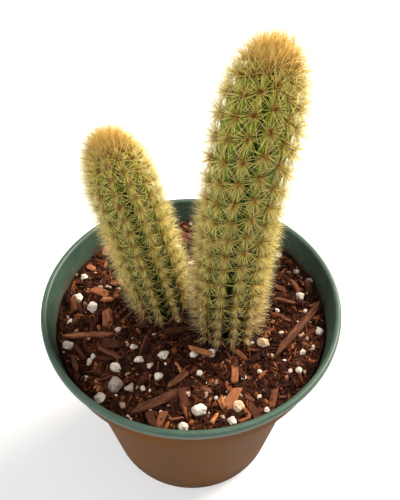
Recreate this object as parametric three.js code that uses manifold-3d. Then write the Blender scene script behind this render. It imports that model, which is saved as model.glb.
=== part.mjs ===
// A potted columnar cactus: a thin round nursery pot filled with potting mix, two ribbed stems that
// stand in the mix, and the bark chips and perlite grains that lie half sunk in its surface.
// Millimetres, +Z up. The origin is the centre of the pot's flat underside.
import * as THREE from "three";
import { mergeVertices } from "three/addons/utils/BufferGeometryUtils.js";
import Module from "manifold-3d";

const wasm = await Module();
wasm.setup();

// ---- Driving dimensions -------------------------------------------------------------------------

const GAP = 0.3; // clearance between pieces that rest in or on each other

// Pot: a tapered cup with a wider collar under a thick rim.
const POT_HEIGHT = 81;
const RIM_R = 51;
const RIM_DEPTH = 2.6;
const RIM_INNER_R = 49;
const RIM_EDGE = 0.6; // rounding of the rim's two edges
const COLLAR_Z = 67;
const COLLAR_R = 47.8;
const COLLAR_TOP_R = 48.6;
const COLLAR_SLOPE = 0.6; // the collar's underside rises this much from the wall out
const WALL_TOP_R = 43.4;
const FOOT_R = 33.4;
const FOOT_ROUND = 1.6;
const WALL = 0.9;
const BASE_THICKNESS = 1.2;
const BASE_FILLET = 1;
const POT_SEGMENTS = 56;
const DRAIN_HOLES = 6;
const DRAIN_R = 3.5;
const DRAIN_CIRCLE_R = 20;

// Potting mix: its top is a low mound that meets the collar a little above its foot.
const MIX_EDGE_Z = 72.4;
const MIX_MOUND = 1.2;
const MIX_SEGMENTS = 56;
const MIX_RINGS = 9;

// Stems: ribbed columns. Each follows a curve from its foot in the mix to its tip.
const TALL_STEM = {
  name: "tall_stem",
  foot: [12.4, -6, 66],
  bend: [11.2, -6, 120],
  tip: [19.4, -6, 175],
  crestRadius: 9.2,
  domeLength: 24,
  ribs: 13,
  firstRibAngle: 0.03,
  color: 0x5f7a2c,
};
const SHORT_STEM = {
  name: "short_stem",
  foot: [-8.8, 3.5, 66],
  bend: [-15, 3.5, 104],
  tip: [-22.8, 3, 143.5],
  crestRadius: 8.4,
  domeLength: 22,
  ribs: 11,
  firstRibAngle: 0.125,
  color: 0x66762f,
};
const RIB_DEPTH = 0.17; // of the crest radius
const POINTS_PER_RIB = 4;
const SHAFT_RINGS = 7;
const DOME_RINGS = 7;
const FOOT_TAPER = 0.86; // the foot's radius, of the full one, which the first third of the shaft reaches
const STEM_GROW = 1.2; // a socket's walls slant, so it grows this many times its gap to clear the stem

// Bark chips: centre x, y, length, width, thickness, heading in degrees.
const BARK_CHIPS = [
  [36.4, -8, 31, 2.8, 1.9, 51],
  [-9, -35, 22, 3.2, 2.2, 26],
  [-4, -28, 10, 2.4, 1.8, 40],
  [-34.8, -10.7, 19, 2.2, 1.8, 3],
  [-28, -17, 14, 2.0, 1.5, -27],
  [-29, -4, 9, 4.0, 1.8, 96],
  [-22, -3, 9, 1.2, 1.0, 49],
  [5, -32, 5, 1.8, 1.4, -25],
  [-38, -22, 8, 1.8, 1.4, -66],
  [32, 10, 6, 2.0, 1.4, -36],
  [33, 4, 9, 1.6, 1.3, -14],
  [33, -4, 4, 1.5, 1.2, -25],
  [-33, 29, 7, 2.8, 1.6, 67],
  [-38, 20, 5, 2.6, 1.6, -36],
  [-30, 4, 5, 2.2, 1.5, 0],
  [12, 32, 14, 2.2, 1.6, 20],
  [-4, 38, 10, 2.0, 1.5, -30],
  [27, 18, 8, 1.8, 1.4, 100],
];

// Perlite grains: centre x, y, radius, stretch along the heading, heading in degrees.
const PERLITE_GRAINS = [
  [-41, 5, 2.3, 1.2, 20],
  [-35, 1, 2.2, 1.1, 70],
  [-40, 15, 1.6, 1.1, 10],
  [-41, -15, 2.2, 1.1, 50],
  [-17, -21, 1.8, 1.1, 80],
  [-9, -19, 1.7, 1.9, 5],
  [-10, -27, 1.8, 1.2, 60],
  [-13, -23, 1.5, 1.1, 30],
  [-24, -24, 2.1, 1.1, 15],
  [-24, -30, 2.6, 1.2, 65],
  [-19, -31, 1.9, 1.2, 40],
  [-28, -35, 2.1, 1.2, -20],
  [3, -39, 2.6, 1.1, 30],
  [3, -25.5, 1.2, 1.1, 0],
  [1, -19, 1.6, 1.1, 45],
  [-19, -16, 1.3, 1.1, 0],
  [-25, -9, 1.2, 1.1, 20],
  [24, -14, 2.1, 1.4, -15],
  [7, -18, 1.7, 1.2, 80],
  [15, -37, 2.1, 1.1, 100],
  [13, -42, 1.5, 1.6, -35],
  [35, -24, 1.4, 1.1, 10],
  [17, -27, 1.1, 1.1, 0],
  [44, -8, 1.6, 1.1, 80],
  [37, -17, 1.2, 1.2, 30],
  [24, -38, 1.3, 1.2, 10],
  [-2, -44, 1.9, 1.1, 0],
  [39, 7, 1.9, 1.1, 50],
  [30, 0, 1.1, 1.1, 0],
  [39, 19, 1.5, 1.1, 25],
  [43, 14, 1.3, 1.1, 60],
  [33, 27, 1.4, 1.2, 15],
  [8, 22, 1.8, 1.1, 70],
  [-6, 30, 2.0, 1.2, 25],
  [-20, 24, 1.5, 1.1, 55],
  [26, 33, 1.8, 1.1, 35],
  [-14, 41, 1.6, 1.2, 80],
];
const GRAIN_LUMPINESS = 0.12;
const GRAIN_HEIGHT = 0.85; // of the radius
const GRAIN_GROW = 1.35; // the same for a grain's pocket, whose faces lie inside its corners' radius
const GRAIN_RISE = 0.3; // centre above the mix's surface, of the radius
const CHIP_RISE = 0.25; // centre above the mix's surface, of the thickness

// ---- Solids ---------------------------------------------------------------------------------------

// A closed geometry as a solid that can be cut and joined.
function toSolid(geometry) {
  const bare = geometry.clone();
  bare.deleteAttribute("normal");
  bare.deleteAttribute("uv");
  const merged = mergeVertices(bare, 1e-4);
  const mesh = new wasm.Mesh({
    numProp: 3,
    vertProperties: new Float32Array(merged.attributes.position.array),
    triVerts: new Uint32Array(merged.index.array),
  });
  return new wasm.Manifold(mesh);
}

function toGeometry(solid) {
  const mesh = solid.getMesh();
  const geometry = new THREE.BufferGeometry();
  geometry.setAttribute("position", new THREE.BufferAttribute(mesh.vertProperties, 3));
  geometry.setIndex(new THREE.BufferAttribute(mesh.triVerts, 1));
  return geometry;
}

// Turns a profile of [radius, z] points round +Z.
function revolve(profile, segments) {
  const points = profile.map(([r, z]) => new THREE.Vector2(r, z));
  return new THREE.LatheGeometry(points, segments).rotateX(Math.PI / 2);
}

// Points on a quarter round from angle start to angle end, in degrees.
function roundPoints(centreR, centreZ, radius, start, end, steps) {
  const points = [];
  for (let i = 0; i <= steps; i++) {
    const a = THREE.MathUtils.degToRad(start + ((end - start) * i) / steps);
    points.push([centreR + radius * Math.cos(a), centreZ + radius * Math.sin(a)]);
  }
  return points;
}

function addMesh(group, name, geometry, color, roughness) {
  const flat = geometry.index ? geometry.toNonIndexed() : geometry;
  flat.computeVertexNormals();
  const material = new THREE.MeshStandardMaterial({ color, roughness, metalness: 0 });
  const mesh = new THREE.Mesh(flat, material);
  mesh.name = name;
  group.add(mesh);
}

// ---- Pot ------------------------------------------------------------------------------------------

function potGeometry() {
  const rimFoot = POT_HEIGHT - RIM_DEPTH;
  const wallOnBaseR = FOOT_R - WALL;
  const profile = [
    [0, 0],
    ...roundPoints(FOOT_R - FOOT_ROUND, FOOT_ROUND, FOOT_ROUND, -90, 0, 3),
    [WALL_TOP_R, COLLAR_Z],
    [COLLAR_R, COLLAR_Z + COLLAR_SLOPE],
    [COLLAR_TOP_R, rimFoot],
    [RIM_R - RIM_EDGE, rimFoot],
    ...roundPoints(RIM_R - RIM_EDGE, POT_HEIGHT - RIM_EDGE, RIM_EDGE, 0, 90, 2),
    ...roundPoints(RIM_INNER_R + RIM_EDGE, POT_HEIGHT - RIM_EDGE, RIM_EDGE, 90, 180, 2),
    [COLLAR_R - WALL, COLLAR_Z + COLLAR_SLOPE + WALL],
    [WALL_TOP_R - WALL, COLLAR_Z + WALL],
    [wallOnBaseR, BASE_THICKNESS + BASE_FILLET],
    [wallOnBaseR - BASE_FILLET, BASE_THICKNESS],
    [0, BASE_THICKNESS],
  ];
  let pot = toSolid(revolve(profile, POT_SEGMENTS));
  for (let i = 0; i < DRAIN_HOLES; i++) {
    const a = (2 * Math.PI * i) / DRAIN_HOLES;
    const drill = new THREE.CylinderGeometry(DRAIN_R, DRAIN_R, 4 * BASE_THICKNESS, 12);
    drill.rotateX(Math.PI / 2);
    drill.translate(DRAIN_CIRCLE_R * Math.cos(a), DRAIN_CIRCLE_R * Math.sin(a), 0);
    pot = pot.subtract(toSolid(drill));
  }
  return toGeometry(pot);
}

// ---- Stems ----------------------------------------------------------------------------------------

// The stem's [crest radius, length along its curve] profile, from the foot to the tip.
function stemProfile(length, crestRadius, domeLength) {
  const profile = [[0, 0]];
  const shaft = length - domeLength;
  for (let i = 0; i < SHAFT_RINGS; i++) {
    const t = i / SHAFT_RINGS;
    const taper = FOOT_TAPER + (1 - FOOT_TAPER) * Math.min(1, t * 3);
    profile.push([crestRadius * taper, shaft * t]);
  }
  for (let i = 0; i < DOME_RINGS; i++) {
    const a = (Math.PI / 2) * (i / DOME_RINGS);
    profile.push([crestRadius * Math.cos(a), shaft + domeLength * Math.sin(a)]);
  }
  profile.push([0, length]);
  return profile;
}

// A ribbed column with a rounded tip. grow widens and lengthens it on all sides.
function stemGeometry(stem, grow) {
  const curve = new THREE.QuadraticBezierCurve3(
    new THREE.Vector3(...stem.foot),
    new THREE.Vector3(...stem.bend),
    new THREE.Vector3(...stem.tip),
  );
  const length = curve.getLength();
  const profile = stemProfile(length, stem.crestRadius, stem.domeLength);
  const geometry = revolve(profile, stem.ribs * POINTS_PER_RIB);
  const position = geometry.attributes.position;
  const across = new THREE.Vector3();
  const side = new THREE.Vector3();
  for (let i = 0; i < position.count; i++) {
    const x = position.getX(i);
    const y = position.getY(i);
    const s = position.getZ(i);
    const u = THREE.MathUtils.clamp(s / length, 0, 1);
    const angle = Math.atan2(y, x);
    const groove = 1 - Math.abs(Math.cos((stem.ribs * angle) / 2));
    const crest = Math.hypot(x, y);
    const r = crest > 1e-6 ? crest * (1 - RIB_DEPTH * groove) + grow * STEM_GROW : 0;
    const tangent = curve.getTangentAt(u);
    across.set(1, 0, 0).addScaledVector(tangent, -tangent.x).normalize();
    side.crossVectors(tangent, across);
    const turn = angle + stem.firstRibAngle;
    const point = curve.getPointAt(u);
    point.addScaledVector(across, r * Math.cos(turn));
    point.addScaledVector(side, r * Math.sin(turn));
    point.addScaledVector(tangent, u < 0.5 / SHAFT_RINGS ? -grow : grow * u);
    position.setXYZ(i, point.x, point.y, point.z);
  }
  return geometry;
}

// ---- Bark chips and perlite grains ----------------------------------------------------------------

// The height of the mix's surface.
function mixHeight(x, y) {
  const r = Math.hypot(x, y) / COLLAR_R;
  const rolling = 0.5 * Math.sin(0.21 * x + 1) * Math.cos(0.17 * y) + 0.4 * Math.sin(0.33 * x - 0.41 * y);
  return MIX_EDGE_Z + MIX_MOUND * (1 - r * r) + rolling;
}

// A split sliver of bark: a pointed outline with an even thickness. grow widens it on all sides.
function chipGeometry([x, y, length, width, thickness, heading], grow) {
  const half = length / 2 + grow;
  const wide = width / 2 + grow;
  const outline = new THREE.Shape();
  outline.moveTo(-half, -0.4 * wide);
  outline.lineTo(-0.5 * half, -wide);
  outline.lineTo(0.7 * half, -0.9 * wide);
  outline.lineTo(half, 0.1 * wide);
  outline.lineTo(0.5 * half, wide);
  outline.lineTo(-0.6 * half, 0.9 * wide);
  const depth = thickness + 2 * grow;
  const geometry = new THREE.ExtrudeGeometry(outline, { depth, bevelEnabled: false });
  geometry.translate(0, 0, -depth / 2);
  geometry.rotateZ(THREE.MathUtils.degToRad(heading));
  geometry.translate(x, y, mixHeight(x, y) + CHIP_RISE * thickness);
  return geometry;
}

// A lumpy angular grain. grow swells it on all sides.
function grainGeometry([x, y, radius, stretch, heading], grow) {
  const geometry = new THREE.DodecahedronGeometry(1, 0);
  const position = geometry.attributes.position;
  for (let i = 0; i < position.count; i++) {
    const px = position.getX(i);
    const py = position.getY(i);
    const pz = position.getZ(i);
    const lump = 1 + GRAIN_LUMPINESS * Math.sin(5 * px + 3 * x) * Math.cos(4 * py + pz * 3 + y);
    position.setXYZ(i, px * lump, py * lump, pz * lump);
  }
  const swell = grow * GRAIN_GROW;
  geometry.scale(radius * stretch + swell, radius + swell, GRAIN_HEIGHT * radius + swell);
  geometry.rotateZ(THREE.MathUtils.degToRad(heading));
  geometry.translate(x, y, mixHeight(x, y) + GRAIN_RISE * radius);
  return geometry;
}

// ---- Potting mix ----------------------------------------------------------------------------------

// The mix fills the pot with a gap to its wall, and has a socket for each stem and a pocket for each
// chip and grain.
function mixGeometry(chips, grains) {
  const bottomR = FOOT_R - WALL - GAP;
  const bottomZ = BASE_THICKNESS + GAP;
  const ledgeZ = COLLAR_Z + COLLAR_SLOPE + WALL + GAP;
  const edgeR = COLLAR_R - WALL - GAP;
  const profile = [
    [0, bottomZ],
    [bottomR - BASE_FILLET, bottomZ],
    [bottomR, bottomZ + BASE_FILLET],
    [WALL_TOP_R - WALL - GAP - 0.1, ledgeZ - 0.5],
    [edgeR, ledgeZ],
  ];
  for (let i = 0; i < MIX_RINGS; i++) {
    profile.push([edgeR * (1 - i / MIX_RINGS), MIX_EDGE_Z]);
  }
  profile.push([0, MIX_EDGE_Z]);
  const geometry = revolve(profile, MIX_SEGMENTS);
  const position = geometry.attributes.position;
  for (let i = 0; i < position.count; i++) {
    if (Math.abs(position.getZ(i) - MIX_EDGE_Z) < 1e-3) {
      position.setZ(i, mixHeight(position.getX(i), position.getY(i)));
    }
  }
  let mix = toSolid(geometry);
  for (const stem of [TALL_STEM, SHORT_STEM]) mix = mix.subtract(toSolid(stemGeometry(stem, GAP)));
  for (const chip of chips) mix = mix.subtract(toSolid(chipGeometry(chip, GAP)));
  for (const grain of grains) mix = mix.subtract(toSolid(grainGeometry(grain, GAP)));
  return toGeometry(mix);
}

// ---- Assembly -------------------------------------------------------------------------------------

const plant = new THREE.Group();
addMesh(plant, "pot", potGeometry(), 0x4b7369, 0.45);
addMesh(plant, "potting_mix", mixGeometry(BARK_CHIPS, PERLITE_GRAINS), 0x3a221c, 0.95);
for (const stem of [TALL_STEM, SHORT_STEM]) {
  addMesh(plant, stem.name, stemGeometry(stem, 0), stem.color, 0.6);
}
BARK_CHIPS.forEach((chip, i) => {
  const name = "bark_chip_" + String(i + 1).padStart(2, "0");
  addMesh(plant, name, chipGeometry(chip, 0), 0x7a4a36, 0.85);
});
PERLITE_GRAINS.forEach((grain, i) => {
  const name = "perlite_" + String(i + 1).padStart(2, "0");
  addMesh(plant, name, grainGeometry(grain, 0), 0xd9cfc8, 0.9);
});

export default plant;
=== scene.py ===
"""A potted columnar cactus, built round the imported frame.

The pot, the potting mix, both stems and every bark chip and perlite grain are finer meshes that stand
for their CAD nodes. The stage is in metres. The pieces are worked out in millimetres, and mesh_piece
turns them into metres.
"""
import itertools
import math
from dataclasses import dataclass

import bmesh
import bpy
import numpy as np
from mathutils import Matrix, Vector
from mathutils.bvhtree import BVHTree


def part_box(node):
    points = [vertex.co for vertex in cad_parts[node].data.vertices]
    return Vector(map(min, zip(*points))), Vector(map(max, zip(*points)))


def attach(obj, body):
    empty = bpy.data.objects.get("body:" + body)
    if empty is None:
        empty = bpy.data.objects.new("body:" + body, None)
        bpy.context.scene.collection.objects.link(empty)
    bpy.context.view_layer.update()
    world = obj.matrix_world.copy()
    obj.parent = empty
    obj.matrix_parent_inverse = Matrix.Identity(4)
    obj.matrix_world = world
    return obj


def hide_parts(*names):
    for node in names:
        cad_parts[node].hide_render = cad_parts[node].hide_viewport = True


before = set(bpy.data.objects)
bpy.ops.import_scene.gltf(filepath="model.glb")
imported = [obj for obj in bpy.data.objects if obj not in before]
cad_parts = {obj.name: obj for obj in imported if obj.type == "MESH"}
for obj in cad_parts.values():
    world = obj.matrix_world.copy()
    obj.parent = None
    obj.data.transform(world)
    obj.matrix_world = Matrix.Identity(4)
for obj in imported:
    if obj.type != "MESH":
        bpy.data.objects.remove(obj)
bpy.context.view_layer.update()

MM = 0.001
TURN = 2 * math.pi
TINY = 1e-6
BAKE_MAP = "OFBake"
GRAIN_MAP = "Grain"

# ---- Stage ----

CAMERA_TARGET = Vector((2.8, 0, 104.2)) * MM
CAMERA_DISTANCE = 188.9 * MM
CAMERA_ELEVATION = math.radians(46.39)
CAMERA_ROLL = math.radians(0.40)
CAMERA_LENS = 43.2
CAMERA_SENSOR = 36
CAMERA_CLIP = 0.01

KEY = dict(direction=Vector((0.85, 0.62, 0.95)), distance=2.0, size=1.2, power=86.0, color=(1.0, 0.93, 0.8))
FILL = dict(direction=Vector((-1.0, -0.45, 0.8)), distance=1.2, size=1.0, power=7.5, color=(1.0, 1.0, 1.0))
WORLD_STRENGTH = 0.5
FLOOR_HALF = 4.0
FLOOR_GLOW = 0.4  # the floor is a lit sheet, so that shadows on it stay pale

# ---- Pot, repeated from the CAD source ----

POT_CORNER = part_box("pot")[1] / MM
POT_HEIGHT = POT_CORNER.z
RIM_R = POT_CORNER.x
RIM_DEPTH = 2.6
RIM_FOOT = POT_HEIGHT - RIM_DEPTH
RIM_INNER_R = 49
COLLAR_Z = 67
COLLAR_R = 47.8
COLLAR_TOP_R = 48.6
WALL_TOP_R = 43.4
FOOT_R = 33.4
FOOT_RING = 4.5  # how wide the ring is that the pot stands on
WALL = 0.9
BASE_THICKNESS = 1.2
DRAIN_HOLES = 6
DRAIN_R = 3.5
DRAIN_CIRCLE_R = 20
DRAIN_SEGMENTS = 28
GAP = 0.3
POT_SEGMENTS = 240
OUT_OF_ROUND = 0.0022  # the thin wall's waves, as a share of its radius
SHARP_ANGLE = math.radians(38)

# ---- Stems ----

# The values are those of Stem's fields, which say what they are.
TALL = dict(
    name="tall_stem", foot=(12.4, -6, 66), bend=(11.2, -6, 120), tip=(19.4, -6, 175), crest=9.2, dome=24,
    ribs=13, first=0.03, spacing=5.0, stretch=0.42, rib_step=5, anchor_rib=-3, anchor=80.6,
    spine=4.3, seed=11,
)
SHORT = dict(
    name="short_stem", foot=(-8.8, 3.5, 66), bend=(-15, 3.5, 104), tip=(-22.8, 3, 143.5), crest=8.4, dome=22,
    ribs=11, first=0.125, spacing=4.5, stretch=0.2, rib_step=4, anchor_rib=-3, anchor=52.0,
    spine=4.0, seed=23,
)
RIB_DEPTH = 0.17  # as a share of the radius
FOOT_RIB_DEPTH = 0.25
DEEP_RIBS = (0.12, 0.55)  # the shares of the shaft between which the ribs go from deep to shallow
FOOT_TAPER = 0.86
DOME_CROWDING = 0.5  # the share by which the areoles stand closer at the apex
LOWEST_AREOLE = 6.5  # along the rib, just under the mix's surface
SMALLEST_R = 1.6  # of the dome where areoles still stand
SWELLING = 0.46
NOTCH = 0.16
NOTCH_PLACE = 2.1  # above the areole
CURVE_POINTS = 2001
PROFILE_POINTS = 400
POINTS_PER_RIB = 14
STEM_RINGS = 210
PAD_SHAPE = (0.4, 0.32, 0.24)  # half of a felt pad's length, width and height

# A spine's rings, each at (share of its length, share of its thickness), before its point.
BENT = ((0.0, 1.0), (0.5, 0.8))
STRAIGHT = ((0.0, 1.0),)

# The spines of each areole. low and high are angles over the skin in degrees, reach is a share of the
# stem's spine length, and spread is how far from the areole's middle they start. shades are the map's v
# at root and point. fan narrows the star, sag bends the spines to the skin, and at the foot droop turns
# them down and old_rise lifts the lowest angle.
SPINES = (
    dict(
        count=16, low=3, high=24, reach=1.1, width=0.085, spread=0.34,
        rings=BENT, shades=(0.01, 0.9), sag=0.14,
    ),
    dict(count=4, low=34, high=70, reach=1.12, width=0.095, spread=0.2, rings=BENT, shades=(0.04, 0.6)),
    dict(
        count=44, low=40, high=86, reach=1.14, width=0.046, spread=0.55,
        rings=STRAIGHT, shades=(0.14, 0.99), droop=0.25, old_rise=20,
    ),
    dict(
        count=20, low=6, high=42, reach=1.28, width=0.044, spread=0.6,
        rings=STRAIGHT, shades=(0.1, 0.96), fan=0.32, sag=0.12,
    ),
)
OLD_SHARE = 0.5  # of the rib, from the foot up, carries older spines
OLD_LOSS = 0.5  # of the spines are gone at the foot
SPINE_MAP_WIDTH = 0.0015
TUFT_SPINES = 1300
TUFT_REACH = 5.4  # how far down from the apex the tuft starts
TUFT_SHADES = (0.32, 0.99)

# ---- Bark, perlite and mix ----

# The brightness of each copy of the bark. The second copy is twice as bright: painted light that lifts the
# shade its chips lie in.
BARK_SHADES = {"plain": 1.0, "worn_and_lit": 2.0, "dark": 0.72}
LIT_CHIPS = (4, 6, 13, 14, 15)
DARK_CHIPS = (1, 2)
CHIP_ROWS = 70
CHIP_COLUMNS = 20
CHIP_SQUARE = 0.45
CHIP_TAPER = 1.6  # how far from its ends a chip narrows
CHIP_SEED = 100
GRAIN_SEED = 200

PERLITE_COLORS = {
    "white": ((176, 152, 132), (222, 208, 194), (240, 232, 222)),
    "cream": ((176, 138, 104), (206, 172, 136), (216, 190, 156)),
    "grey_brown": ((112, 94, 84), (158, 142, 132), (188, 174, 164)),
}
CREAM_GRAINS = (18, 20)
# These grains are a darker grey-brown.
GREY_BROWN_GRAINS = (10, 11)

MIX_EDGE_Z = 72.4
MIX_MOUND = 1.2
MIX_R = COLLAR_R - WALL - GAP
MIX_RINGS = 120
MIX_SEGMENTS = 320

# Loose bits of the mix: piece, slot, finish, count, least and most size, shape (length, width and height
# beside the size), squareness (lower is boxier), subdivisions, how high the middle stands over the surface
# beside the size, and how far the bits stay from the chips and grains.
BITS = (
    ("mix_dust", "potting_mix", "crumbs", 4200, (0.2, 0.55), (1.2, 0.9, 0.8), 1, 1, 0.1, 0.1),
    ("mix_crumbs", "potting_mix", "crumbs", 1700, (0.4, 1.25), (1.4, 0.8, 0.6), 0.7, 2, 0.05, 0.3),
    ("mix_flakes", "potting_mix", "crumbs", 1200, (0.5, 1.7), (1.6, 0.5, 0.24), 0.7, 2, 0.25, 0.5),
    ("bark_bits", "bark", "splinters", 230, (0.7, 2.5), (1.6, 0.5, 0.34), 0.55, 3, 0.25, 0.8),
    ("perlite_grit", "perlite", "perlite_grit", 300, (0.25, 0.95), (1.2, 0.9, 0.8), 0.8, 2, 0.4, 0.2),
)
# Each finish's bump width, and its ramp's places and colours.
BIT_FINISHES = {
    "crumbs": (0.4, (0.0, 0.4, 0.75, 1.0), ((40, 18, 11), (58, 27, 15), (88, 44, 25), (150, 88, 50))),
    "splinters": (0.3, (0.0, 0.4, 0.8, 1.0), ((64, 34, 23), (104, 60, 42), (150, 92, 60), (196, 130, 84))),
    "perlite_grit": (0.3, (0.0, 0.4, 1.0), ((150, 112, 88), (200, 174, 152), (236, 226, 214))),
}
BIT_FORMS = 10
BIT_MAP_WIDTH = 0.002
LOOSE_SHARE = 0.45  # of the bits lie at any angle, and the rest lie level
STRAY_SHARE = 0.04  # of the places on a chip or grain are kept
FIBRES = 1000
FIBRE_ROWS = 7
MIX_SEED = 71


# ---- Numbers ----


def value_noise(points, size, seed):
    """Smooth noise from -1 to 1 at points. size is how wide its lumps are, in the points' own unit."""
    place = np.asarray(points, float) / size + 17.31 * seed
    cell = np.floor(place).astype(np.int64)
    part = place - cell
    part = part * part * (3 - 2 * part)
    total = np.zeros(len(place))
    for corner in itertools.product((0, 1), repeat=3):
        c = cell + np.array(corner)
        mixed = (c[:, 0] * 73856093) ^ (c[:, 1] * 19349663) ^ (c[:, 2] * 83492791)
        mixed = (mixed ^ (mixed >> 13)) * 1274126177
        value = ((mixed ^ (mixed >> 16)) & 0xFFFF) / 32767.5 - 1
        weight = np.prod(np.where(np.array(corner), part, 1 - part), axis=1)
        total += weight * value
    return total


def layered_noise(points, size, seed, layers=3):
    """Noise with finer, weaker layers over a coarse one."""
    total = 0
    for i in range(layers):
        total = total + value_noise(points, size / 2**i, seed + i) / 2**i
    return total


def unit(vectors):
    return vectors / np.linalg.norm(vectors, axis=-1, keepdims=True)


def squarer(values, power):
    """Values from -1 to 1 moved away from 0, which makes a round form boxier the lower the power is."""
    return np.sign(values) * np.abs(values) ** power


def across_pair(directions):
    """Two unit vectors at right angles to each direction and to each other."""
    helper = np.where(np.abs(directions[:, 2:]) > 0.9, [[1.0, 0, 0]], [[0, 0, 1.0]])
    first = unit(np.cross(directions, helper))
    return first, np.cross(directions, first)


# ---- Meshes ----


def add_object(name, data):
    made = bpy.data.objects.new(name, data)
    bpy.context.scene.collection.objects.link(made)
    return made


def mesh_piece(name, verts, faces, materials, slots=None, uv=None, uv_name=BAKE_MAP, values=None):
    """A smooth mesh object. slots gives each face's material, uv each vertex's (u, v), and values named
    numbers for each vertex."""
    mesh = bpy.data.meshes.new(name)
    mesh.from_pydata((np.asarray(verts) * MM).tolist(), [], faces)
    for material in materials:
        mesh.materials.append(material)
    if slots is not None:
        mesh.polygons.foreach_set("material_index", np.asarray(slots, np.int32))
    if uv is not None:
        corners = np.zeros(len(mesh.loops), np.int32)
        mesh.loops.foreach_get("vertex_index", corners)
        layer = mesh.uv_layers.new(name=uv_name)
        layer.uv.foreach_set("vector", np.asarray(uv, np.float32)[corners].ravel())
    for key, numbers in (values or {}).items():
        attribute = mesh.attributes.new(key, "FLOAT", "POINT")
        attribute.data.foreach_set("value", np.asarray(numbers, np.float32))
    mesh.validate()
    mesh.shade_smooth()
    return add_object(name, mesh)


def stand_for(piece, slot, *nodes):
    """piece rides on the one body and is shown in place of those CAD nodes. slot is not used."""
    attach(piece, "root")
    if nodes:
        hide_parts(*nodes)
    return piece


def icosphere(subdivisions):
    """Unit vertices and triangles."""
    ball = bmesh.new()
    bmesh.ops.create_icosphere(ball, subdivisions=subdivisions, radius=1)
    verts = np.array([v.co[:] for v in ball.verts])
    faces = np.array([[v.index for v in f.verts] for f in ball.faces])
    ball.free()
    return verts, faces


def chipped(verts, rng, cuts, depth):
    """verts of a rounded form with flat facets broken off, each up to that share of its reach deep."""
    for way in unit(rng.normal(size=(cuts, 3))):
        reach = verts @ way
        level = reach.max() * (1 - depth * rng.uniform(0.3, 1))
        verts = verts - np.maximum(reach - level, 0)[:, None] * way * 0.9
    return verts


def repeated(faces, vertex_count, copies):
    """The faces of that many copies of a mesh, one after another."""
    return (faces[None] + vertex_count * np.arange(copies)[:, None, None]).reshape(-1, faces.shape[1])


def rounded(points, steps=4):
    """A profile of (r, z, rounding) points, each corner rounded over that distance."""
    made = [points[0][:2]]
    for before, here, after in zip(points, points[1:], points[2:]):
        corner = np.array(here[:2], float)
        if here[2] == 0:
            made.append(tuple(corner))
            continue
        back, forward = np.array(before[:2]) - corner, np.array(after[:2]) - corner
        start = corner + back * min(0.5, here[2] / np.linalg.norm(back))
        end = corner + forward * min(0.5, here[2] / np.linalg.norm(forward))
        for t in np.linspace(0, 1, steps + 1):
            made.append(tuple((1 - t) ** 2 * start + 2 * t * (1 - t) * corner + t * t * end))
    made.append(points[-1][:2])
    return np.array(made, float)


def tube_faces(rings, columns):
    """The faces between rings of that many vertices each, and a fan at each end to the two vertices that
    come after the rings."""
    last = (rings - 1) * columns
    foot, top = last + columns, last + columns + 1
    faces = []
    for j in range(columns):
        k = (j + 1) % columns
        faces.append([foot, k, j])
        for i in range(0, last, columns):
            faces.append([i + j, i + k, i + columns + k, i + columns + j])
        faces.append([last + j, last + k, top])
    return faces


def strand_faces(rings, pointed):
    """The triangles of a three-sided strand that ends in a point or a flat end."""
    faces = [[2, 1, 0]]
    end = 3 * (rings - 1)
    for i in range(0, end, 3):
        for j in range(3):
            k = (j + 1) % 3
            faces += [[i + j, i + k, i + 3 + k], [i + j, i + 3 + k, i + 3 + j]]
    if pointed:
        faces += [[end + j, end + (j + 1) % 3, end + 3] for j in range(3)]
    else:
        faces.append([end, end + 1, end + 2])
    return np.array(faces)


def corner_ways(first, second):
    """The directions of a strand's three corners, from two across it."""
    turns = [TURN * i / 3 for i in range(3)]
    return [math.cos(a) * first + math.sin(a) * second for a in turns]


def lathe(profile, segments):
    """A profile of (r, z) that starts and ends on the axis, turned round Z: vertices, faces and each
    face's place in the profile."""
    angles = TURN * np.arange(segments) / segments
    rings = profile[1:-1]
    r, z = rings[:, :1], rings[:, 1:]
    verts = np.stack(np.broadcast_arrays(r * np.cos(angles), r * np.sin(angles), z), -1).reshape(-1, 3)
    verts = np.vstack([verts, [0, 0, profile[0, 1]], [0, 0, profile[-1, 1]]])
    rows = np.tile(np.arange(len(rings) + 1), segments)
    return verts, tube_faces(len(rings), segments), rows


# ---- Materials ----


def srgb(red, green, blue):
    """The linear colour of an 8-bit one."""
    parts = []
    for c in (red / 255, green / 255, blue / 255):
        parts.append(c / 12.92 if c <= 0.04045 else ((c + 0.055) / 1.055) ** 2.4)
    return (*parts, 1.0)


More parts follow.
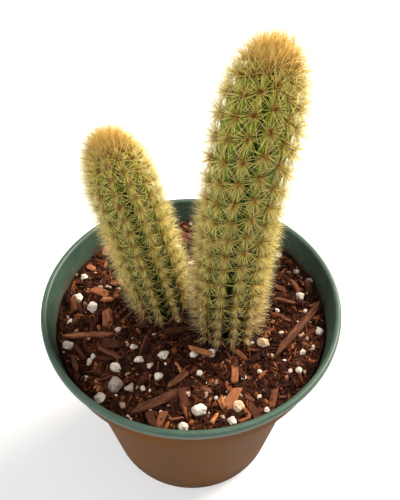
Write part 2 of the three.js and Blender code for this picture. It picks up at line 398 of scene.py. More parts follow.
class Finish:
    """A procedural material with a Principled shader."""

    def __init__(self, name, roughness, **uniform):
        self.material = bpy.data.materials.new(name)
        self.material.use_nodes = True
        self.tree = self.material.node_tree
        self.shader = self.tree.nodes["Principled BSDF"]
        self.shader.inputs["Roughness"].default_value = roughness
        for key, value in uniform.items():
            self.shader.inputs[key.replace("_", " ")].default_value = value

    def add(self, kind, inputs=None, **properties):
        """A new shader node. inputs maps a socket to a value or to the output that feeds it."""
        made = self.tree.nodes.new("ShaderNode" + kind)
        for key, value in properties.items():
            setattr(made, key, value)
        for key, value in (inputs or {}).items():
            if isinstance(value, bpy.types.NodeSocket):
                self.tree.links.new(value, made.inputs[key])
            else:
                made.inputs[key].default_value = value
        return made

    def place(self, stretch=(1, 1, 1)):
        """Points in the row frame, scaled by stretch."""
        coordinates = self.add("TexCoord").outputs["Object"]
        return self.add("Mapping", {"Vector": coordinates, "Scale": stretch}).outputs[0]

    def height(self):
        """The height over the floor, in metres."""
        return self.add("SeparateXYZ", {0: self.place()}).outputs[2]

    def noise(self, size, detail=4.0, roughness=0.55, vector=None):
        """Noise from 0 to 1 with lumps about size millimetres wide."""
        inputs = {"Scale": 1 / (size * MM), "Detail": detail, "Roughness": roughness}
        inputs["Vector"] = vector or self.place()
        return self.add("TexNoise", inputs).outputs["Fac"]

    def value(self, name):
        return self.add("Attribute", attribute_name=name).outputs["Fac"]

    def map_parts(self, name):
        """The u and v of a UV map."""
        coordinates = self.add("UVMap", uv_map=name).outputs[0]
        parts = self.add("SeparateXYZ", {0: coordinates})
        return parts.outputs[0], parts.outputs[1]

    def math(self, operation, a, b=0.0, c=0.0):
        return self.add("Math", {0: a, 1: b, 2: c}, operation=operation).outputs[0]

    def ramp(self, factor, places, colors):
        """Those 8-bit colours at those places from 0 to 1."""
        made = self.add("ValToRGB", {"Fac": factor})
        elements = made.color_ramp.elements
        for place in places[2:]:
            elements.new(place)
        for element, place, color in zip(sorted(elements, key=lambda e: e.position), places, colors):
            element.position = place
            element.color = srgb(*color)
        return made.outputs[0]

    def steps(self, factor, low, high, start=0.0, end=1.0):
        """Goes from start to end as factor goes from low to high, smoothly."""
        inputs = {"Value": factor, "From Min": low, "From Max": high, "To Min": start, "To Max": end}
        return self.add("MapRange", inputs, interpolation_type="SMOOTHSTEP").outputs[0]

    def mix(self, factor, a, b, blend="MIX"):
        inputs = {0: factor, 6: a, 7: b}
        return self.add("Mix", inputs, data_type="RGBA", blend_type=blend).outputs[2]

    def tint(self, color, factor, low, high):
        """color made darker or lighter: times low where factor is 0 and times high where it is 1."""
        times = self.steps(factor, 0, 1, low, high)
        gray = self.add("CombineXYZ", {0: times, 1: times, 2: times}).outputs[0]
        return self.mix(1.0, color, gray, "MULTIPLY")

    def color(self, output):
        self.tree.links.new(output, self.shader.inputs["Base Color"])

    def roughness(self, output):
        self.tree.links.new(output, self.shader.inputs["Roughness"])

    def bump(self, height, distance, strength=1.0):
        inputs = {"Height": height, "Distance": distance * MM, "Strength": strength}
        self.tree.links.new(self.add("Bump", inputs).outputs[0], self.shader.inputs["Normal"])


def pot_green():
    """Dark green moulded plastic: slightly mottled, with fine scuffs, a painted highlight along the rim's
    lower outer edge and soil dust low on the inside."""
    look = Finish("pot_green", 0.42, Specular_IOR_Level=0.35)
    mottle = look.noise(9, 5)
    base = look.ramp(mottle, (0.3, 0.7), ((58, 80, 68), (70, 92, 79)))
    scuffs = look.noise(0.8, 3, vector=look.place((1, 1, 0.12)))
    worn_and_lit = look.mix(look.steps(scuffs, 0.58, 0.75, 0, 0.35), base, srgb(112, 136, 124))
    height = look.height()
    outward = look.add("VectorMath", {0: look.place((1, 1, 0))}, operation="LENGTH").outputs[1]
    # Painted highlight: the rim's lower outer edge is mixed paler, standing in for light on its rounding.
    painted_rim_highlight = look.steps(height, RIM_FOOT * MM, (RIM_FOOT + 0.8) * MM, 0.7, 0)
    painted_rim_highlight = look.math("MULTIPLY", painted_rim_highlight, look.steps(outward, (RIM_R - 0.7) * MM, (RIM_R - 0.3) * MM))
    worn_and_lit = look.mix(painted_rim_highlight, worn_and_lit, srgb(138, 160, 156))
    low = look.steps(height, (MIX_EDGE_Z - 0.5) * MM, (MIX_EDGE_Z + 4.5) * MM, 1, 0)
    specks = look.steps(look.noise(1.3, 6), 0.42, 0.62)
    dust_and_shade = look.math("MULTIPLY", low, specks)
    look.color(look.mix(dust_and_shade, worn_and_lit, srgb(86, 60, 44)))
    look.roughness(look.steps(look.math("ADD", mottle, dust_and_shade), 0.3, 1.2, 0.36, 0.8))
    look.bump(look.noise(0.6, 4), 0.03)
    return look.material


def pot_tan():
    """Tan-brown moulded plastic, a little paler where rubbed, with painted shade in patches near the foot.
    """
    look = Finish("pot_tan", 0.6, Specular_IOR_Level=0.03)
    mottle = look.noise(14, 5)
    base = look.ramp(mottle, (0.3, 0.7), ((90, 55, 20), (104, 66, 27)))
    scuffs = look.noise(1.0, 3, vector=look.place((1, 1, 0.1)))
    worn_and_lit = look.mix(look.steps(scuffs, 0.6, 0.78, 0, 0.3), base, srgb(122, 86, 50))
    height = look.height()
    # Painted shade: patches that darken the tan towards the foot.
    low = look.steps(height, 0.0, 14 * MM, 0.75, 0)
    dust_and_shade = look.math("MULTIPLY", low, look.steps(look.noise(2.2, 6), 0.35, 0.65))
    look.color(look.mix(dust_and_shade, worn_and_lit, srgb(58, 38, 22)))
    look.roughness(look.steps(mottle, 0.3, 0.7, 0.5, 0.62))
    look.bump(look.noise(0.7, 4), 0.03)
    return look.material


def flesh():
    """Waxy ribbed skin: fresh green near the apex, dull and corky at the foot, painted shade in grooves."""
    look = Finish("flesh", 0.55, Specular_IOR_Level=0.12)
    age = look.value("age")
    groove = look.steps(look.value("groove"), 0.15, 0.85)
    ages = (0.0, 0.16, 0.4, 0.75, 1.0)
    crest = look.ramp(age, ages, ((46, 44, 20), (48, 62, 10), (52, 76, 4), (78, 110, 2), (132, 152, 8)))
    # Painted shade: this darker green goes into the grooves.
    painted_groove_shade = look.ramp(age, ages, ((16, 20, 8), (13, 23, 5), (12, 28, 2), (22, 48, 1), (58, 88, 4)))
    color = look.tint(look.mix(groove, crest, painted_groove_shade), look.noise(2.4, 5), 0.72, 1.25)
    cork = look.steps(look.math("ADD", age, look.noise(3.0, 5)), 0.42, 0.6, 0.7, 0)
    look.color(look.mix(cork, color, srgb(104, 82, 54)))
    look.roughness(look.steps(look.noise(1.4, 4), 0.3, 0.7, 0.34, 0.56))
    look.bump(look.noise(0.35, 3), 0.05)
    return look.material


def spine_finish():
    """Spines: red-brown at the root and cream-gold along, duller on the old foot and golden at the apex.
    The map's v runs from root to tip and its u from the foot to the apex."""
    look = Finish("spines", 0.5, Specular_IOR_Level=0.35)
    zone, along = look.map_parts(BAKE_MAP)
    colors = ((172, 76, 40), (196, 124, 66), (226, 190, 120), (246, 222, 160), (255, 244, 206))
    old = look.ramp(along, (0.0, 0.16, 0.38, 0.7, 1.0), colors)
    colors = ((192, 68, 30), (208, 122, 48), (230, 204, 100), (246, 226, 140), (255, 247, 204))
    middle = look.ramp(along, (0.0, 0.09, 0.2, 0.7, 1.0), colors)
    colors = ((176, 88, 28), (206, 136, 42), (206, 154, 54), (224, 182, 84), (244, 218, 146))
    young = look.ramp(along, (0.0, 0.14, 0.45, 0.75, 1.0), colors)
    color = look.mix(look.steps(zone, 0.06, 0.3), old, middle)
    color = look.mix(look.steps(zone, 0.8, 0.93), color, young)
    stripe = look.math("FRACT", look.math("MULTIPLY", zone, 37.0))
    look.color(look.tint(color, stripe, 0.82, 1.1))
    return look.material


def felt_finish():
    """Short wool at each spine cluster's root."""
    look = Finish("felt", 0.95, Sheen_Weight=0.3)
    fuzz = look.noise(0.3, 3)
    look.color(look.ramp(fuzz, (0.3, 0.75), ((190, 82, 40), (212, 118, 62))))
    look.bump(fuzz, 0.15)
    return look.material


def soil_finish():
    """Damp dark peat with reddish fine bark."""
    look = Finish("soil", 0.9, Specular_IOR_Level=0.12)
    colors = ((34, 17, 11), (64, 34, 23), (88, 49, 33), (122, 74, 50))
    base = look.ramp(look.noise(2.6, 6, 0.65), (0.25, 0.48, 0.62, 0.8), colors)
    look.color(look.tint(base, look.noise(0.7, 4), 0.6, 1.3))
    look.bump(look.noise(0.5, 4), 0.2)
    return look.material


def bit_finish(name, grain, places, colors):
    """Loose bits of the mix. The map's u is each bit's tone, and its v the shade over it."""
    look = Finish(name, 0.88, Specular_IOR_Level=0.12)
    tone, shade = look.map_parts(BAKE_MAP)
    look.color(look.tint(look.ramp(tone, places, colors), shade, 0.62, 1.3))
    look.bump(look.noise(grain, 3), 0.12)
    return look.material


def bark_finish(name, shade):
    """Split bark: long fibres, darker cracks between them and worn paler ridges. shade brightens it all."""
    look = Finish(name, 0.82, Specular_IOR_Level=0.2)
    fibres = look.add("UVMap", uv_map=GRAIN_MAP).outputs[0]
    long = look.add("Mapping", {"Vector": fibres, "Scale": (0.16, 1.0, 1.0)}).outputs[0]
    coarse = look.add("TexNoise", {"Vector": long, "Scale": 1.1, "Detail": 5.0}).outputs[0]
    fine = look.add("TexNoise", {"Vector": long, "Scale": 4.5, "Detail": 4.0}).outputs[0]
    colors = ((56, 28, 17), (96, 55, 36), (126, 78, 53), (172, 118, 82))
    base = look.ramp(coarse, (0.25, 0.45, 0.6, 0.8), colors)
    # Above 1, shade is painted light.
    look.color(look.tint(base, fine, 0.55 * shade, 1.4 * shade))
    look.bump(fine, 0.25)
    return look.material


def perlite_finish(name, colors):
    """Expanded white stone: matt, with brown stains and pores, their pits darkened as painted shade."""
    look = Finish(name, 0.92)
    base = look.ramp(look.noise(2.2, 6, 0.6), (0.3, 0.5, 0.7), colors)
    pores = look.add("TexVoronoi", {"Vector": look.place(), "Scale": 1900.0}).outputs[0]
    # The pits of the pores are darkened: painted shade.
    look.color(look.tint(base, look.steps(pores, 0.05, 0.4), 0.72, 1.04))
    look.bump(pores, 0.15)
    return look.material


# ---- Pot ----


def pot_profile():
    """The pot's section from the middle of its underside, over the rim, to the middle of its floor."""
    foot = FOOT_R - FOOT_RING
    outside = [(0, 0, 0), (foot, 0, 0.8), (foot + 1, 0, 0.5), (FOOT_R, 0, 1.6), (WALL_TOP_R, COLLAR_Z, 0.5)]
    collar = [(COLLAR_R, COLLAR_Z + 0.6, 0.5), (COLLAR_TOP_R, RIM_FOOT, 0.3)]
    rim = [(RIM_R - 0.5, RIM_FOOT, 0.25), (RIM_R, RIM_FOOT + 0.35, 0.3)]
    top = [(RIM_R, POT_HEIGHT, 0.9), (RIM_INNER_R, POT_HEIGHT, 0.9)]
    inside = [(COLLAR_R - WALL, COLLAR_Z + 1.5, 0.6), (WALL_TOP_R - WALL, COLLAR_Z + WALL, 0.5)]
    floor = [(FOOT_R - WALL, BASE_THICKNESS, 1.2), (0, BASE_THICKNESS, 0)]
    return rounded(outside + collar + rim + top + inside + floor)


def drill(pot, material):
    """Cuts the drain holes."""
    drills = bmesh.new()
    for i in range(DRAIN_HOLES):
        a = TURN * i / DRAIN_HOLES
        place = Vector((DRAIN_CIRCLE_R * math.cos(a), DRAIN_CIRCLE_R * math.sin(a), 0)) * MM
        size = dict(radius1=DRAIN_R * MM, radius2=DRAIN_R * MM, depth=4 * BASE_THICKNESS * MM)
        turn = dict(segments=DRAIN_SEGMENTS, matrix=Matrix.Translation(place))
        bmesh.ops.create_cone(drills, cap_ends=True, **size, **turn)
    mesh = bpy.data.meshes.new("drills")
    drills.to_mesh(mesh)
    drills.free()
    mesh.materials.append(material)
    cutter = add_object("drills", mesh)
    cut = pot.modifiers.new("drain_holes", "BOOLEAN")
    cut.object = cutter
    cut.solver = "EXACT"
    bpy.context.view_layer.update()
    evaluated = pot.evaluated_get(bpy.context.evaluated_depsgraph_get())
    holed = bpy.data.meshes.new_from_object(evaluated)
    pot.modifiers.clear()
    pot.data = holed
    bpy.data.objects.remove(cutter)


def build_pot():
    """The pot, green from under its rim to the inside and tan outside below that."""
    profile = pot_profile()
    verts, faces, rows = lathe(profile, POT_SEGMENTS)
    angle = np.arctan2(verts[:, 1], verts[:, 0])
    rise = np.clip(verts[:, 2] / POT_HEIGHT, 0, 1)
    three_sided = (1 + np.cos(3 * angle + 0.6)) * np.sin(2.2 * rise * math.pi) ** 2
    verts[:, :2] *= (1 - OUT_OF_ROUND * rise * three_sided)[:, None]
    middle_r = (profile[rows, 0] + profile[np.minimum(rows + 1, len(profile) - 1), 0]) / 2
    outer_rows = np.arange(len(profile)) <= np.argmax(profile[:, 0]) - 3
    green = ~outer_rows[rows] | (middle_r > COLLAR_TOP_R + 0.4)
    green_plastic, tan_plastic = pot_green(), pot_tan()
    pot = mesh_piece("nursery_pot", verts, faces, [tan_plastic, green_plastic], green.astype(int))
    drill(pot, tan_plastic)
    pot.data.shade_smooth()
    pot.data.set_sharp_from_angle(angle=SHARP_ANGLE)
    stand_for(pot, "pot_plastic", "pot")


# ---- Stems ----


@dataclass
class Stem:
    """A ribbed column along a curve. s runs along the curve, m along a crest from the foot to the apex."""

    name: str
    foot: tuple
    bend: tuple  # the middle point of the quadratic curve
    tip: tuple
    crest: float  # the radius over the ribs
    dome: float  # the height of the rounded top
    ribs: int
    first: float  # how far round the first crest stands
    spacing: float  # of the areoles along a rib, at the foot
    stretch: float  # how much wider apart they stand at the shoulder
    rib_step: int  # each next rib's areoles stand rib_step / ribs of a spacing higher
    anchor_rib: int
    anchor: float  # an areole's place along the anchor rib
    spine: float  # a spine's length
    seed: int

    def __post_init__(self):
        u = np.linspace(0, 1, CURVE_POINTS)[:, None]
        foot, bend, tip = (np.array(p, float) for p in (self.foot, self.bend, self.tip))
        self.points = (1 - u) ** 2 * foot + 2 * u * (1 - u) * bend + u * u * tip
        self.tangents = unit((1 - u) * (bend - foot) + u * (tip - bend))
        steps = np.linalg.norm(np.diff(self.points, axis=0), axis=1)
        self.lengths = np.concatenate([[0], np.cumsum(steps)])
        shaft = self.lengths[-1] - self.dome
        sweep = np.linspace(0, math.pi / 2, PROFILE_POINTS)[1:]
        taper = FOOT_TAPER + (1 - FOOT_TAPER) * np.minimum(1, np.linspace(0, 1, PROFILE_POINTS) * 3)
        self.s = np.concatenate([np.linspace(0, shaft, PROFILE_POINTS), shaft + self.dome * np.sin(sweep)])
        self.r = self.crest * np.concatenate([taper, np.cos(sweep)])
        self.m = np.concatenate([[0], np.cumsum(np.hypot(np.diff(self.s), np.diff(self.r)))])
        self.shaft_m = np.interp(shaft, self.s, self.m)
        share = np.clip((self.m - self.shaft_m) / (self.m[-1] - self.shaft_m), 0, 1)
        climb = np.minimum(self.m / self.shaft_m, 1)
        self.gap = self.spacing * (1 + self.stretch * climb) * (1 - DOME_CROWDING * share)
        steps = np.diff(self.m) / ((self.gap[1:] + self.gap[:-1]) / 2)
        self.count = np.concatenate([[0], np.cumsum(steps)])
        self.phase = np.interp(self.anchor, self.m, self.count) - self.anchor_rib * self.rib_step / self.ribs

    def frames(self, s):
        """The curve's points, tangents, and the two directions across it."""
        point = np.stack([np.interp(s, self.lengths, self.points[:, i]) for i in range(3)], -1)
        tangent = unit(np.stack([np.interp(s, self.lengths, self.tangents[:, i]) for i in range(3)], -1))
        across = unit(np.array([1.0, 0, 0]) - tangent[:, :1] * tangent)
        return point, tangent, across, np.cross(tangent, across)

    def offset(self, rib):
        """Where a rib's areoles stand, as a share of their spacing."""
        return self.phase + rib * self.rib_step / self.ribs

    def surface(self, m, angle, lift=0.0):
        """Points on the skin, their normals and the way up along the rib. angle counts from a crest."""
        s = np.interp(m, self.m, self.s)
        point, tangent, across, side = self.frames(s)
        groove = 1 - np.abs(np.cos(self.ribs * angle / 2))
        depth = np.interp(m, np.array(DEEP_RIBS) * self.shaft_m, (FOOT_RIB_DEPTH, RIB_DEPTH))
        r = np.interp(m, self.m, self.r) * (1 - depth * groove)
        r = np.maximum(r + self.bulge(m, angle) + lift, 0)
        turn = angle + self.first
        radial = np.cos(turn)[:, None] * across + np.sin(turn)[:, None] * side
        reach = 0.4
        rise = np.interp(m + reach, self.m, self.s) - np.interp(m - reach, self.m, self.s)
        out = np.interp(m + reach, self.m, self.r) - np.interp(m - reach, self.m, self.r)
        size = np.maximum(np.hypot(rise, out), TINY)[:, None]
        upward = (out[:, None] * radial + rise[:, None] * tangent) / size
        normal = (rise[:, None] * radial - out[:, None] * tangent) / size
        return point + r[:, None] * radial, normal, upward, groove

    def bulge(self, m, angle):
        """Each areole sits on a low swelling of its rib, with a notch above it."""
        rib = np.round(angle * self.ribs / TURN)
        aside = (angle - rib * TURN / self.ribs) * np.interp(m, self.m, self.r)
        place = np.interp(m, self.m, self.count) - self.offset(rib)
        away = (place - np.round(place)) * np.interp(m, self.m, self.gap)
        swelling = SWELLING * np.exp(-(away**2) / 4.5 - aside**2 / 1.9)
        notch = NOTCH * np.exp(-((away - NOTCH_PLACE) ** 2) / 0.5 - aside**2 / 2.5)
        fade = np.clip(np.interp(m, self.m, self.r) / self.crest * 2.5, 0, 1)
        return (swelling - notch) * fade

    def areoles(self):
        """Each areole's m and angle, from just under the mix's surface to near the apex."""
        found = []
        for rib in range(self.ribs):
            offset = self.offset(rib) % 1
            for j in range(int(self.count[-1]) + 1):
                if j + offset < self.count[-1]:
                    m = np.interp(j + offset, self.count, self.m)
                    if m > LOWEST_AREOLE and np.interp(m, self.m, self.r) > SMALLEST_R:
                        found.append((m, TURN * rib / self.ribs))
        return np.array(found)


class Areoles:
    """A stem's areoles: their roots, lifted over the skin, and their directions and ages."""

    def __init__(self, stem, lift=0.0):
        m, angle = stem.areoles().T
        self.root, self.normal, self.upward, _ = stem.surface(m, angle, lift)
        self.side = np.cross(self.normal, self.upward)
        self.share = m / stem.m[-1]
        self.youth = np.clip((m - stem.shaft_m) / (stem.m[-1] - stem.shaft_m), 0, 1)
        self.old = np.clip(1 - self.share / OLD_SHARE, 0, 1)


def stem_body(stem, skin):
    """The ribbed skin, closed under the mix."""
    columns = stem.ribs * POINTS_PER_RIB
    rows = np.linspace(0, stem.m[-1], STEM_RINGS + 1)[:-1]
    m, angle = (a.ravel() for a in np.meshgrid(rows, TURN * np.arange(columns) / columns, indexing="ij"))
    verts, normal, _, groove = stem.surface(m, angle)
    verts = verts + normal * (0.12 * layered_noise(verts, 3.0, stem.seed))[:, None]
    verts = np.vstack([verts, stem.points[0], stem.points[-1]])
    age = np.concatenate([m / stem.m[-1], [0, 1]])
    groove = np.concatenate([groove, [0, 0]])
    faces = tube_faces(STEM_RINGS, columns)
    body = mesh_piece(stem.name + "_flesh", verts, faces, [skin], values={"groove": groove, "age": age})
    stand_for(body, "cactus_flesh", stem.name)


def felt_pads(stem, felt):
    """A woolly pad in each areole: a low dome a little longer than it is wide."""
    at = Areoles(stem)
    ball, faces = icosphere(2)
    rng = np.random.default_rng(stem.seed + 5)
    size = rng.uniform(0.9, 1.15, len(at.root))[:, None, None]
    shape = ball * (1 + 0.12 * value_noise(ball, 0.5, 3))[:, None]
    axes = np.stack([at.upward, at.side, at.normal], 1)
    verts = at.root[:, None] + size * (shape * PAD_SHAPE @ axes)
    faces = repeated(faces, len(ball), len(at.root))
    pads = mesh_piece(stem.name + "_felt", verts.reshape(-1, 3), faces.tolist(), [felt])
    stand_for(pads, "cactus_flesh")


def spine_arrays(root, way, curl, length, width, zone, rings, shades):
    """The vertices, map and faces of tapered three-sided spines. zone is the map's u, and shades are its v
    at the root and at the point."""
    verts = []
    for along, thick in rings:
        centre = root + length[:, None] * (along * way + along**2 * curl)
        verts += [centre + thick * width[:, None] * corner for corner in corner_ways(*across_pair(way))]
    verts.append(root + length[:, None] * (way + curl))
    verts = np.stack(verts, 1)
    low, high = shades
    along = np.repeat([low + (high - low) * place for place, _ in rings], 3).tolist() + [high]
    sway = np.array([-1, 0, 1] * len(rings) + [0]) * SPINE_MAP_WIDTH
    uv = np.stack([zone[:, None] + sway[None], np.broadcast_to(along, verts.shape[:2])], -1)
    faces = repeated(strand_faces(len(rings), pointed=True), verts.shape[1], len(root))
    return verts.reshape(-1, 3), uv.reshape(-1, 2), faces


def star(
    stem, at, rng, count, low, high, reach, width, spread, rings, shades,
    fan=1.0, sag=0.0, droop=0.85, old_rise=0.0,
):
    """The arrays of count spines from each areole, of a kind that SPINES describes."""
    size = (len(at.root), count)
    share, youth, old = at.share[:, None], at.youth[:, None], at.old[:, None]
    around = TURN * (np.arange(count)[None] + rng.uniform(-0.35, 0.35, size)) / count
    around += rng.uniform(0, TURN, (size[0], 1))
    height = np.radians(rng.uniform(low + old_rise * old, high, size))
    height = height + (math.pi / 2 - height) * 0.35 * youth
    sideways = fan * np.sin(around) * (1 - 0.6 * old)
    flat = np.cos(around)[..., None] * at.upward[:, None] + sideways[..., None] * at.side[:, None]
    way = np.cos(height)[..., None] * flat + np.sin(height)[..., None] * at.normal[:, None]
    lean = 0.5 * at.youth - droop * at.old
    way = way + lean[:, None, None] * at.upward[:, None] + rng.normal(0, 0.05, way.shape)
    start = at.root[:, None] + spread * flat + 0.12 * at.normal[:, None]
    length = stem.spine * reach * rng.uniform(0.8, 1.18 + 0.2 * youth, size)
    length = length * (1.28 - 0.38 * np.sin(height)) * (0.82 + 0.3 * np.cos(around) ** 2) * 1.1
    thick = width * rng.uniform(0.8, 1.2, size) * (0.78 + 0.3 * share)
    curl = rng.normal(0, 0.035, way.shape) - sag * at.normal[:, None]
    zone = 0.02 + 0.76 * share + 0.2 * youth**2 + rng.uniform(-0.02, 0.02, size)
    kept = rng.random(size) < 1 - OLD_LOSS * old
    rows = [a[kept] for a in (start, unit(way), curl, length, thick, np.clip(zone, 0.01, 0.97))]
    return spine_arrays(*rows, rings, shades)


def tuft(stem, rng):
    """The arrays of the short, dense spines over the apex."""
    count = TUFT_SPINES
    m = stem.m[-1] - TUFT_REACH * rng.random(count) ** 0.8
    start, out, _, _ = stem.surface(m, rng.uniform(0, TURN, count))
    lean = stem.tangents[-1][None] + 0.95 * out * rng.uniform(0.2, 1.1, (count, 1))
    way = unit(lean + rng.normal(0, 0.16, (count, 3)))
    length = stem.spine * rng.uniform(0.6, 1.02, count)
    thick = rng.uniform(0.045, 0.06, count)
    zone = rng.uniform(0.93, 0.985, count)
    curl = rng.normal(0, 0.05, (count, 3))
    return spine_arrays(start, way, curl, length, thick, zone, STRAIGHT, TUFT_SHADES)


def stem_spines(stem, look):
    """The spines of every areole and the tuft on the apex, as one piece."""
    rng = np.random.default_rng(stem.seed)
    at = Areoles(stem, lift=0.05)
    parts = [star(stem, at, rng, **kind) for kind in SPINES] + [tuft(stem, rng)]
    starts = np.cumsum([0] + [len(verts) for verts, _, _ in parts])
    verts, maps = (np.vstack([part[i] for part in parts]) for i in (0, 1))
    faces = np.vstack([own + before for (_, _, own), before in zip(parts, starts)])
    spines = mesh_piece(stem.name + "_spines", verts, faces.tolist(), [look], uv=maps)
    stand_for(spines, "cactus_flesh")


def build_stems():
    skin, felt, look = flesh(), felt_finish(), spine_finish()
    stems = [Stem(**TALL), Stem(**SHORT)]
    for stem in stems:
        stem_body(stem, skin)
        felt_pads(stem, felt)
        stem_spines(stem, look)
    return stems


# ---- Bark chips and perlite ----


def nodes_of(kind):
    """The names of the CAD nodes of a kind, in order."""
    return sorted(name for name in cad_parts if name.startswith(kind))


def node_points(name):
    """A CAD node's vertices in millimetres."""
    return np.array([v.co[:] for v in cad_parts[name].data.vertices]) / MM


class Chip:
    """A bark chip's outline, read from its CAD node: its direction, and its two edges along it."""

    def __init__(self, name):
        self.name = name
        points = node_points(name)
        self.low, self.high = points[:, 2].min(), points[:, 2].max()
        flat = np.unique(np.round(points[:, :2], 3), axis=0)
        self.centre = (flat.min(0) + flat.max(0)) / 2
        _, _, ways = np.linalg.svd(flat - flat.mean(0))
        self.along = ways[0]
        self.across = np.array([-ways[0][1], ways[0][0]])
        a, b = (flat - self.centre) @ self.along, (flat - self.centre) @ self.across
        self.start, self.end = a.min(), a.max()
        line = np.interp(a, [self.start, self.end], [b[a.argmin()], b[a.argmax()]])
        upper, lower = b >= line - TINY, b <= line + TINY
        self.upper = [v[upper][np.argsort(a[upper])] for v in (a, b)]
        self.lower = [v[lower][np.argsort(a[lower])] for v in (a, b)]

    def edges(self, a):
        return np.interp(a, *self.lower), np.interp(a, *self.upper)

    def covers(self, points, margin):
        """Which flat points lie on the chip or within the margin of it."""
        a = (points - self.centre) @ self.along
        b = (points - self.centre) @ self.across
        low, high = self.edges(np.clip(a, self.start, self.end))
        inside = (a > self.start - margin) & (a < self.end + margin)
        return inside & (b > low - margin) & (b < high + margin)


def build_chip(chip, look, seed):
    """A split sliver: a flattened section along the outline, with fibre ridges and ragged ends."""
    stations = np.linspace(chip.start, chip.end, CHIP_ROWS)
    turns = TURN * np.arange(CHIP_COLUMNS) / CHIP_COLUMNS
    a, turn = (part.ravel() for part in np.meshgrid(stations, turns, indexing="ij"))
    low, high = chip.edges(a)
    flat, tall = (squarer(part, CHIP_SQUARE) for part in (np.cos(turn), np.sin(turn)))
    share = (a - chip.start) / (chip.end - chip.start)
    ends = np.clip(np.minimum(share, 1 - share) * (chip.end - chip.start) / CHIP_TAPER, 0, 1) ** 0.5
    wide = np.maximum((high - low) / 2, 0.12) * (0.35 + 0.65 * ends)
    thick = (chip.high - chip.low) / 2 * (0.4 + 0.6 * ends)
    b = (low + high) / 2 + wide * flat
    z = (chip.low + chip.high) / 2 + thick * tall
    ridge = layered_noise(np.stack([a * 0.14, b, z], -1), 0.9, seed, 3)
    b = b + 0.2 * ridge * flat * ends
    z = z + (0.26 * ridge + 0.14 * layered_noise(np.stack([a, b, z], -1), 5.0, seed + 9, 2)) * tall * ends
    ragged = value_noise(np.stack([np.zeros_like(b), b, z], -1), 0.45, seed + 4)
    a = a + 0.8 * ragged * (1 - ends) * np.sign(0.5 - share)
    verts = chip.centre[None] + a[:, None] * chip.along + b[:, None] * chip.across
    verts = np.column_stack([verts, z])
    verts = np.vstack([verts, verts[:CHIP_COLUMNS].mean(0), verts[-CHIP_COLUMNS:].mean(0)])
    grain = np.column_stack([np.append(a, [chip.start, chip.end]), np.append(b + z, [0, 0])]) + 31.7 * seed
    name = chip.name.replace("bark_chip", "bark_sliver")
    faces = tube_faces(CHIP_ROWS, CHIP_COLUMNS)
    piece = mesh_piece(name, verts, faces, [look], uv=grain, uv_name=GRAIN_MAP)
    stand_for(piece, "bark", chip.name)


def build_chips():
    """Every chip in its shade of bark. Gives the chips' outlines."""
    bark = {kind: bark_finish("bark_" + kind, shade) for kind, shade in BARK_SHADES.items()}
    chips = [Chip(name) for name in nodes_of("bark_chip")]
    for i, chip in enumerate(chips, 1):
        # Chips in the first list take the twice-bright copy: painted light.
        kind = "worn_and_lit" if i in LIT_CHIPS else "dark" if i in DARK_CHIPS else "plain"
        build_chip(chip, bark[kind], CHIP_SEED + i)
    return chips


def build_grain(name, look, seed):
    """A popcorn-like grain: the CAD node's form, softened, with broken facets and pores."""
    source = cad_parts[name].data
    tree = BVHTree.FromPolygons([v.co[:] for v in source.vertices], [p.vertices[:] for p in source.polygons])
    low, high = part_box(name)
    centre = (low + high) / 2
    ball, faces = icosphere(4)
    hits = [tree.ray_cast(centre, Vector(way))[3] for way in ball]
    reach = np.array([hit / MM if hit else 1.0 for hit in hits])
    rng = np.random.default_rng(seed)
    size = reach.mean()
    r = (0.4 * size + 0.6 * reach) * (1 + 0.2 * value_noise(ball, 1.1, seed))
    form = chipped(ball * r[:, None], rng, 9, 0.42)
    lumps = layered_noise(ball, 0.6, seed, 3)
    pits = np.clip(value_noise(ball, 0.2, seed + 7) - 0.3, 0, 1)
    form = form * (1 + 0.1 * lumps - 0.16 * pits)[:, None]
    verts = np.array(centre) / MM + form
    piece = mesh_piece(name.replace("perlite", "perlite_grain"), verts, faces.tolist(), [look])
    stand_for(piece, "perlite", name)


def build_grains():
    """Every grain, white, cream or grey-brown."""
    perlite = {kind: perlite_finish("perlite_" + kind, colors) for kind, colors in PERLITE_COLORS.items()}
    for i, name in enumerate(nodes_of("perlite"), 1):
        kind = "cream" if i in CREAM_GRAINS else "grey_brown" if i in GREY_BROWN_GRAINS else "white"
        build_grain(name, perlite[kind], GRAIN_SEED + i)


# ---- Mix ----


def mix_height(x, y):
    """The height of the mix's surface, as in the CAD source."""
    r = np.hypot(x, y) / COLLAR_R
    rolling = 0.5 * np.sin(0.21 * x + 1) * np.cos(0.17 * y) + 0.4 * np.sin(0.33 * x - 0.41 * y)
    return MIX_EDGE_Z + MIX_MOUND * (1 - r * r) + rolling


def mix_body():
    """The mix as one closed body, its top broken into crumbs."""
    floor_z = BASE_THICKNESS + GAP
    foot_r = FOOT_R - WALL - GAP
    ledge_z = COLLAR_Z + 1.5 + GAP
    sides = [(0, floor_z), (foot_r - 1, floor_z), (foot_r, floor_z + 1)]
    sides += [(WALL_TOP_R - WALL - GAP, ledge_z - 0.5), (MIX_R, ledge_z), (MIX_R, MIX_EDGE_Z - 0.6)]
    top = [(MIX_R * (1 - i / MIX_RINGS) ** 0.8, MIX_EDGE_Z) for i in range(MIX_RINGS)]
    verts, faces, _ = lathe(np.array(sides + top + [(0, MIX_EDGE_Z)], float), MIX_SEGMENTS)
    surface = np.abs(verts[:, 2] - MIX_EDGE_Z) < TINY
    x, y = verts[surface, 0], verts[surface, 1]
    flat = np.column_stack([x, y, np.zeros_like(x)])
    clods = 0.7 * layered_noise(flat, 4.5, 3, 3) + 0.4 * np.abs(layered_noise(flat, 1.3, 8, 3))
    verts[surface, 2] = mix_height(x, y) + clods - 0.6
    body = mesh_piece("mix_body", verts, faces, [soil_finish()])
    stand_for(body, "potting_mix", "potting_mix")


